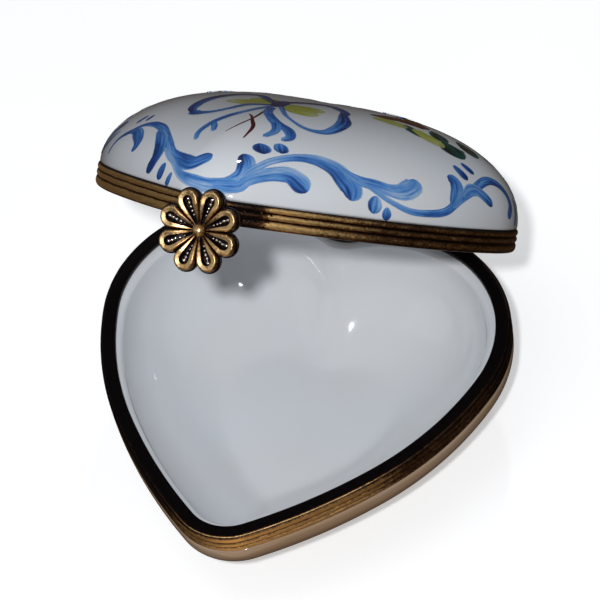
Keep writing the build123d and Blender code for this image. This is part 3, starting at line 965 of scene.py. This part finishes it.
# ---------------- collars
def collar_profile():
    """(inset, height, crest) round the collar's section; crest is 1 where hands rub it bright."""
    points = []
    height = FIRST_RIB
    for number, rib in enumerate(RIB_HEIGHTS):
        for k in range(RIB_POINTS):
            t = k / (RIB_POINTS - 1)
            bulge = math.sin(math.pi * t) ** RIB_ROUNDNESS
            if k == 0 and number:
                continue
            points.append((RIB_DEPTH * (1 - bulge), height + rib * t, bulge))
        height += rib
    points += [
        (0.30, COLLAR_HEIGHT - 0.03, 0.25),
        (0.42, COLLAR_HEIGHT, 0.2),
        (BAND_INNER, COLLAR_HEIGHT, 0.0),
        (BAND_INNER, FLANGE_THICKNESS, 0.0),
        (FLANGE_WIDTH - 0.08, FLANGE_THICKNESS, 0.0),
        (FLANGE_WIDTH, FLANGE_THICKNESS - 0.08, 0.1),
        (FLANGE_WIDTH, 0.12, 0.15),
        (FLANGE_WIDTH - 0.05, 0.04, 0.18),
        (FLANGE_WIDTH - 0.14, 0.0, 0.1),
        (1.6, 0.0, 0.02),
        (1.1, 0.0, 0.02),
        (0.6, 0.0, 0.05),
        (0.42, 0.005, 0.45),
        (0.32, 0.025, 0.85),
    ]
    return points


def stretch(along, start, end, soft):
    """1 between two places along the rim, fading over a soft distance at each."""
    rise = smoothstep(start - soft, start + soft, along)
    return rise * (1 - smoothstep(end - soft, end + soft, along))


def lid_wear_and_shade(along):
    """How bright the lid's collar is rubbed: most beside the clasp, black where it is soldered, and
    darker over the right half, which is painted shade.
    """
    wear_and_shade = 0.95 + 0.40 * stretch(along, -40, -5, 3) + 0.34 * stretch(along, 7, 13, 3.0)
    return wear_and_shade - 0.9 * stretch(along, 2.0, 7.4, 1.2) - 0.42 * stretch(along, 17, 90, 8)


def base_wear_and_shade(along):
    """How bright the base's collar is: rubbed bright at the front right, which is also a painted
    reflection there, falling off to the right as painted shade, and black at the left.
    """
    return 0.14 + 1.32 * stretch(along, -5.5, 22, 6) + 0.34 * stretch(along, 20, 42, 6)


def collar_object(name, lid):
    profile = collar_profile()
    points, crest, wear_and_shade, level = [], [], [], []
    waver = 0.015 * np.sin(RIM * 0.9) + 0.01 * np.sin(RIM * 2.3 + 1.0)
    for number, (inset, height, bright) in enumerate(profile):
        ring = ring_points(TABLE, inset)
        shake = waver * (1 if 0.2 < height < 2.6 and inset < 0.3 else 0)
        z = lid_z(height + shake) if lid else base_z(height + shake)
        points.append(np.column_stack([ring, z * np.ones(AROUND)]))
        crest.append(np.full(AROUND, bright))
        # Brightness per point round the rim: wear mixed with painted shade, and on the base a painted
        # reflection at the front.
        wear_and_shade.append(lid_wear_and_shade(RIM) if lid else base_wear_and_shade(RIM))
        level.append(np.full(AROUND, height + inset))
    points = np.concatenate(points)
    faces = grid_faces(len(profile), AROUND, wrap_rows=True)
    values = {
        "crest": np.concatenate(crest),
        "wear_and_shade": np.concatenate(wear_and_shade),
        "level": np.concatenate(level),
        "run": np.tile(RIM, len(profile)),
    }
    return make_object(name, points, faces, lid, values)


base_ring = collar_object("base_collar_ribbed", False)
dress(base_ring, mat_collar, "base", "antique_brass", "base_collar")
lid_ring = collar_object("lid_collar_ribbed", True)
dress(lid_ring, mat_collar, "lid", "antique_brass", "lid_collar")


# ---------------- clasp
PETALS = 8
FLOWER_TURN = math.radians(17.0)
FLOWER_CENTRE = -1.0
FLOWER_BACK_Y = TIP_Y - 0.3 - 0.8
FLOWER_PLATE = 0.42
PETAL_HEAD = 3.8
PETAL_TOP = 1.40
PETAL_SIDE = 1.56
PETAL_LOW = 0.62
PETAL_RISE = 0.78
FLOWER_POLES = [[0, 0, 0.5], [0, 0, 0.0]]

# The rosette's edge, from the front to the back: share of its reach, share of its height, crest.
ROSETTE_EDGE = (
    (0.997, 0.86, 0.25), (1.0, 0.6, 0.22), (1.0, 0.3, 0.18),
    (0.995, 0.05, 0.1), (0.97, 0.0, 0.0), (0.4, 0.0, 0.0),
)


def petal_depth(a, b):
    """Distance inside a teardrop petal, and the half width of the petal there."""
    slope = math.asin(PETAL_TOP / PETAL_HEAD)
    b = np.abs(b)
    from_head = PETAL_TOP - np.hypot(a - PETAL_HEAD, b)
    from_side = a * math.sin(slope) - b * math.cos(slope)
    in_head = a * math.cos(slope) + b * math.sin(slope) > PETAL_HEAD * math.cos(slope)
    inside = np.where(in_head, from_head, from_side)
    half = np.clip(a * math.sin(slope), 0.12, PETAL_TOP)
    return inside, half


def flower_relief(x, y):
    """Height and rub of the rosette's face at points on its plane; the back is at 0."""
    radius = np.hypot(x, y)
    height = np.full_like(radius, FLOWER_PLATE)
    shine = np.zeros_like(radius)
    for k in range(PETALS):
        turn = FLOWER_TURN + k * 2 * math.pi / PETALS
        a = x * math.sin(turn) + y * math.cos(turn)
        b = x * math.cos(turn) - y * math.sin(turn)
        inside, half = petal_depth(a, b)
        share = inside / half
        crown = PETAL_LOW + PETAL_RISE * smoothstep(0.3, 3.4, a)
        rise = np.sqrt(np.clip(1 - (1 - np.clip(share / 0.24, 0, 1)) ** 2, 0, 1))
        rise = rise - 0.10 * smoothstep(0.2, 0.6, share)
        drop = smoothstep(0.58, 0.70, share) * (0.16 + 0.46 * smoothstep(0.6, 2.2, a))
        lift = FLOWER_PLATE + (crown - FLOWER_PLATE) * rise - drop
        good = (inside > 0) & (a > 0)
        use = good & ((lift > height) | (share > 0.3))
        height = np.where(use, lift, height)
        rubbed = 0.35 + 0.65 * smoothstep(0.8, 2.2, a)
        bright = rise * (1 - smoothstep(0.54, 0.62, share)) * rubbed
        shine = np.where(use, bright, shine)
    return height, shine


def flower_reach(angle):
    """Radius of the rosette's outline at an angle from its top."""
    near = (angle - FLOWER_TURN + math.pi / PETALS) % (2 * math.pi / PETALS) - math.pi / PETALS
    sine = PETAL_HEAD * np.sin(near)
    return PETAL_HEAD * np.cos(near) + np.sqrt(np.maximum(PETAL_SIDE**2 - sine**2, 0.02))


def flower_to_row(points):
    """From the rosette's own plane (x right, y up, z out) to the closed lid's frame."""
    points = np.asarray(points, float)
    return np.stack(
        [points[:, 0], FLOWER_BACK_Y - points[:, 2], MATING_Z + FLOWER_CENTRE + points[:, 1]], 1
    )


def make_flower():
    columns = PETALS * 60
    angle = np.linspace(0, 2 * math.pi, columns, endpoint=False)
    reach = flower_reach(angle)
    rows, crest = [], []
    for share in np.linspace(0.02, 0.985, 95):
        r = share * reach
        x, y = r * np.sin(angle), r * np.cos(angle)
        z, shine = flower_relief(x, y)
        edge = smoothstep(0.90, 1.0, np.full(columns, share))
        rows.append(np.stack([x, y, z], 1))
        crest.append(shine * (1 - 0.5 * edge))
    rim_z = rows[-1][:, 2]
    for grow, level, bright in ROSETTE_EDGE:
        r = grow * reach
        rows.append(np.stack([r * np.sin(angle), r * np.cos(angle), rim_z * level], 1))
        crest.append(np.full(columns, bright))
    points = flower_to_row(np.concatenate(rows + [FLOWER_POLES]))
    faces = capped_faces(len(rows), columns)
    values = {"crest": np.concatenate(crest + [[0.0, 0.0]]), "wear_and_shade": 0.62}
    return make_object("clasp_rosette", points, faces, True, values)


def ball_grid(centre, radius, flatten, rings, columns):
    """Points and faces of a ball in the rosette's own plane."""
    points = []
    for i in range(1, rings):
        polar = math.pi * i / rings
        for j in range(columns):
            turn = 2 * math.pi * j / columns
            points.append((
                centre[0] + radius * math.sin(polar) * math.cos(turn),
                centre[1] + radius * math.sin(polar) * math.sin(turn),
                centre[2] + radius * flatten * math.cos(polar),
            ))
    points.append((centre[0], centre[1], centre[2] + radius * flatten))
    points.append((centre[0], centre[1], centre[2] - radius * flatten))
    return points, capped_faces(rings - 1, columns)


BEADS_A_PETAL = 5
FIRST_BEAD = 2.0
BEAD_SPACING = 0.5
BEAD_RADIUS = 0.135
BEAD_GROWTH = 0.034


def make_beads():
    """The small beads that stand in each petal's groove."""
    chance = random.Random(3)
    points, faces = [], []
    for k in range(PETALS):
        turn = FLOWER_TURN + k * 2 * math.pi / PETALS
        for number in range(BEADS_A_PETAL):
            a = FIRST_BEAD + BEAD_SPACING * number + chance.uniform(-0.05, 0.05)
            b = chance.uniform(-0.05, 0.05)
            x = a * math.sin(turn) + b * math.cos(turn)
            y = a * math.cos(turn) - b * math.sin(turn)
            z, _ = flower_relief(np.array([x]), np.array([y]))
            size = BEAD_RADIUS + BEAD_GROWTH * number + chance.uniform(-0.02, 0.02)
            more, links = ball_grid((x, y, float(z[0]) + size * 0.35), size, 0.9, 8, 14)
            shift = len(points)
            points.extend(more)
            faces.extend(tuple(v + shift for v in f) for f in links)
    values = {"crest": 0.75, "wear_and_shade": 0.6}
    return make_object("clasp_petal_beads", flower_to_row(points), faces, True, values)


RIVET_RADIUS = 0.8
RIVET_HEIGHT = 0.7


def make_rivet():
    """The rivet's round head, at the rosette's centre."""
    points, faces = ball_grid((0, 0, RIVET_HEIGHT), RIVET_RADIUS, 0.85, 16, 32)
    values = {"crest": 0.95, "wear_and_shade": 0.6}
    return make_object("clasp_centre_bead", flower_to_row(points), faces, True, values)


SOLDER_LUMPS = 16
SOLDER_START = 4.5
SOLDER_END = 8.0


def make_solder():
    """Lumps of dark solder on the lid's collar, beside the rosette."""
    chance = random.Random(5)
    points, faces = [], []
    for _ in range(SOLDER_LUMPS):
        along = chance.uniform(SOLDER_START, SOLDER_END)
        height = chance.uniform(0.3, COLLAR_HEIGHT - 0.3)
        size = chance.uniform(0.14, 0.30)
        x, y = ring_points(heart_normals(along), 0.1 + 0.4 * size)[0]
        ball, links = ball_grid((x, height, 0.0), size, chance.uniform(0.6, 1.0), 8, 14)
        start = len(points)
        points.extend((a, y - c, lid_z(b)) for a, b, c in ball)
        faces.extend(tuple(v + start for v in face) for face in links)
    return make_object("clasp_solder", np.array(points), faces, True, {"crest": 0.5, "wear_and_shade": 0.4})


rosette = make_flower()
dress(rosette, mat_flower, "lid", "gilt_brass", "clasp_flower")
dress(make_beads(), mat_bead, "lid", "gilt_brass")
dress(make_rivet(), mat_flower, "lid", "gilt_brass", "clasp_rivet")
dress(make_solder(), mat_solder, "lid", "antique_brass")


# ---------------- CAD nodes that show as they are
CEMENT_STOPS = [(0.3, (0.05, 0.04, 0.03)), (0.7, (0.16, 0.13, 0.10))]


def cement_material():
    n = Nodes("bedding_cement")
    grain = n.noise(700.0, 4.0, 0.6)
    n.set("Base Color", n.ramp(grain, CEMENT_STOPS))
    n.set("Roughness", 0.85)
    n.set("Normal", n.bump(grain, 0.00005, 0.6))
    return n.material


mat_cement = cement_material()
FITTINGS = (
    "clasp_tongue", "clasp_nib", "hinge_pin", "lid_knuckle", "base_knuckle_left", "base_knuckle_right",
)
for material, names in ((mat_fittings, FITTINGS), (mat_cement, ("base_cement", "lid_cement"))):
    for name in names:
        node = frame["nodes"][name]
        node.data.materials.clear()
        node.data.materials.append(material)


# ---------------- camera, light, floor
def aim(obj, target, roll=0.0):
    """Points a camera or light at a target."""
    direction = Vector(target) - obj.location
    spin = direction.to_track_quat("-Z", "Y").to_matrix()
    obj.rotation_euler = (spin @ Matrix.Rotation(roll, 3, "Z")).to_euler()


CAMERA_AZIMUTH = math.radians(30.5)
CAMERA_ELEVATION = math.radians(51.2)
CAMERA_ROLL = math.radians(-13.5)
CAMERA_DISTANCE = 0.408
CAMERA_TARGET = (-0.0015, 0.0115, 0.0165)

camera_data = bpy.data.cameras.new("camera")
camera = place_object("camera", camera_data)
flat = math.cos(CAMERA_ELEVATION)
offset = (
    math.sin(CAMERA_AZIMUTH) * flat,
    -math.cos(CAMERA_AZIMUTH) * flat,
    math.sin(CAMERA_ELEVATION),
)
camera.location = Vector(CAMERA_TARGET) + CAMERA_DISTANCE * Vector(offset)
aim(camera, CAMERA_TARGET, CAMERA_ROLL)
camera_data.lens = 184.0
camera_data.sensor_width = 36.0
camera_data.clip_start = 0.01
bpy.context.scene.camera = camera


def area_light(name, place, size, power, colour):
    data = bpy.data.lights.new(name, "AREA")
    data.shape = "DISK"
    data.size = size
    data.energy = power
    data.color = colour
    light = place_object(name, data)
    light.location = place
    aim(light, LIGHT_TARGET)
    return light


def toward(azimuth, elevation, distance):
    """Place at a distance from the box, in degrees round from the point of the heart and up."""
    a, e = math.radians(azimuth), math.radians(elevation)
    return (
        distance * math.sin(a) * math.cos(e),
        -distance * math.cos(a) * math.cos(e),
        distance * math.sin(e),
    )


LIGHT_TARGET = (0.0, 0.0, 0.02)
area_light("key", toward(25, 56.5, 0.55), 0.022, 1.56, (0.965, 0.98, 1.0))
overhead = area_light("overhead", toward(-60, 80, 0.75), 0.35, 0.52, (0.86, 0.92, 1.0))
overhead.visible_glossy = False
area_light("soft", toward(-60, 35, 0.8), 0.6, 0.32, (0.93, 0.96, 1.0))
area_light("table_glow", toward(12, -35, 0.5), 0.45, 0.34, (1.0, 0.72, 0.46))
area_light("window", toward(-174, 45, 0.6), 0.03, 0.25, (0.9, 0.95, 1.0))


# From straight down to straight up.
SKY_STOPS = [
    (0.0, (0.30, 0.21, 0.13)),
    (0.42, (0.14, 0.09, 0.055)),
    (0.52, (0.30, 0.28, 0.27)),
    (0.75, (0.80, 0.84, 0.90)),
    (1.0, (0.95, 0.97, 1.0)),
]
SKY_STRENGTH = 0.20


def studio_world():
    """Soft grey studio: pale above the horizon and dark brown below it."""
    world = bpy.data.worlds.new("studio")
    bpy.context.scene.world = world
    world.use_nodes = True
    tree = world.node_tree
    place = tree.nodes.new("ShaderNodeTexCoord")
    split = tree.nodes.new("ShaderNodeSeparateXYZ")
    ramp = tree.nodes.new("ShaderNodeValToRGB")
    shade = tree.nodes.new("ShaderNodeMapRange")
    shade.inputs["From Min"].default_value = -1.0
    tree.links.new(place.outputs["Generated"], split.inputs[0])
    tree.links.new(split.outputs["Z"], shade.inputs["Value"])
    tree.links.new(shade.outputs[0], ramp.inputs[0])
    fill_ramp(ramp.color_ramp, SKY_STOPS)
    background = tree.nodes["Background"]
    tree.links.new(ramp.outputs[0], background.inputs[0])
    background.inputs[1].default_value = SKY_STRENGTH


studio_world()

FLOOR_REACH = 3.0
FLOOR_SIDES = ((-1, -1), (1, -1), (1, 1), (-1, 1))
FLOOR_CORNERS = [(x * FLOOR_REACH, y * FLOOR_REACH, 0) for x, y in FLOOR_SIDES]
floor_mesh = bpy.data.meshes.new("floor")
floor_mesh.from_pydata(FLOOR_CORNERS, [], [(0, 1, 2, 3)])
floor = place_object("floor", floor_mesh)
n = Nodes("pale_floor")
FLOOR_STOPS = [(0.3, (0.86, 0.86, 0.86)), (0.7, (0.88, 0.88, 0.88))]
n.set("Base Color", n.ramp(n.noise(40.0, 3.0), FLOOR_STOPS))
n.set("Emission Color", (0.95, 0.95, 0.95, 1))
n.set("Emission Strength", 0.45)
n.set("Roughness", 0.6)
floor_mesh.materials.append(n.material)
floor.visible_diffuse = False
floor.visible_glossy = False
floor.visible_shadow = False

view = bpy.context.scene.view_settings
view.view_transform = "Standard"
view.look = "None"
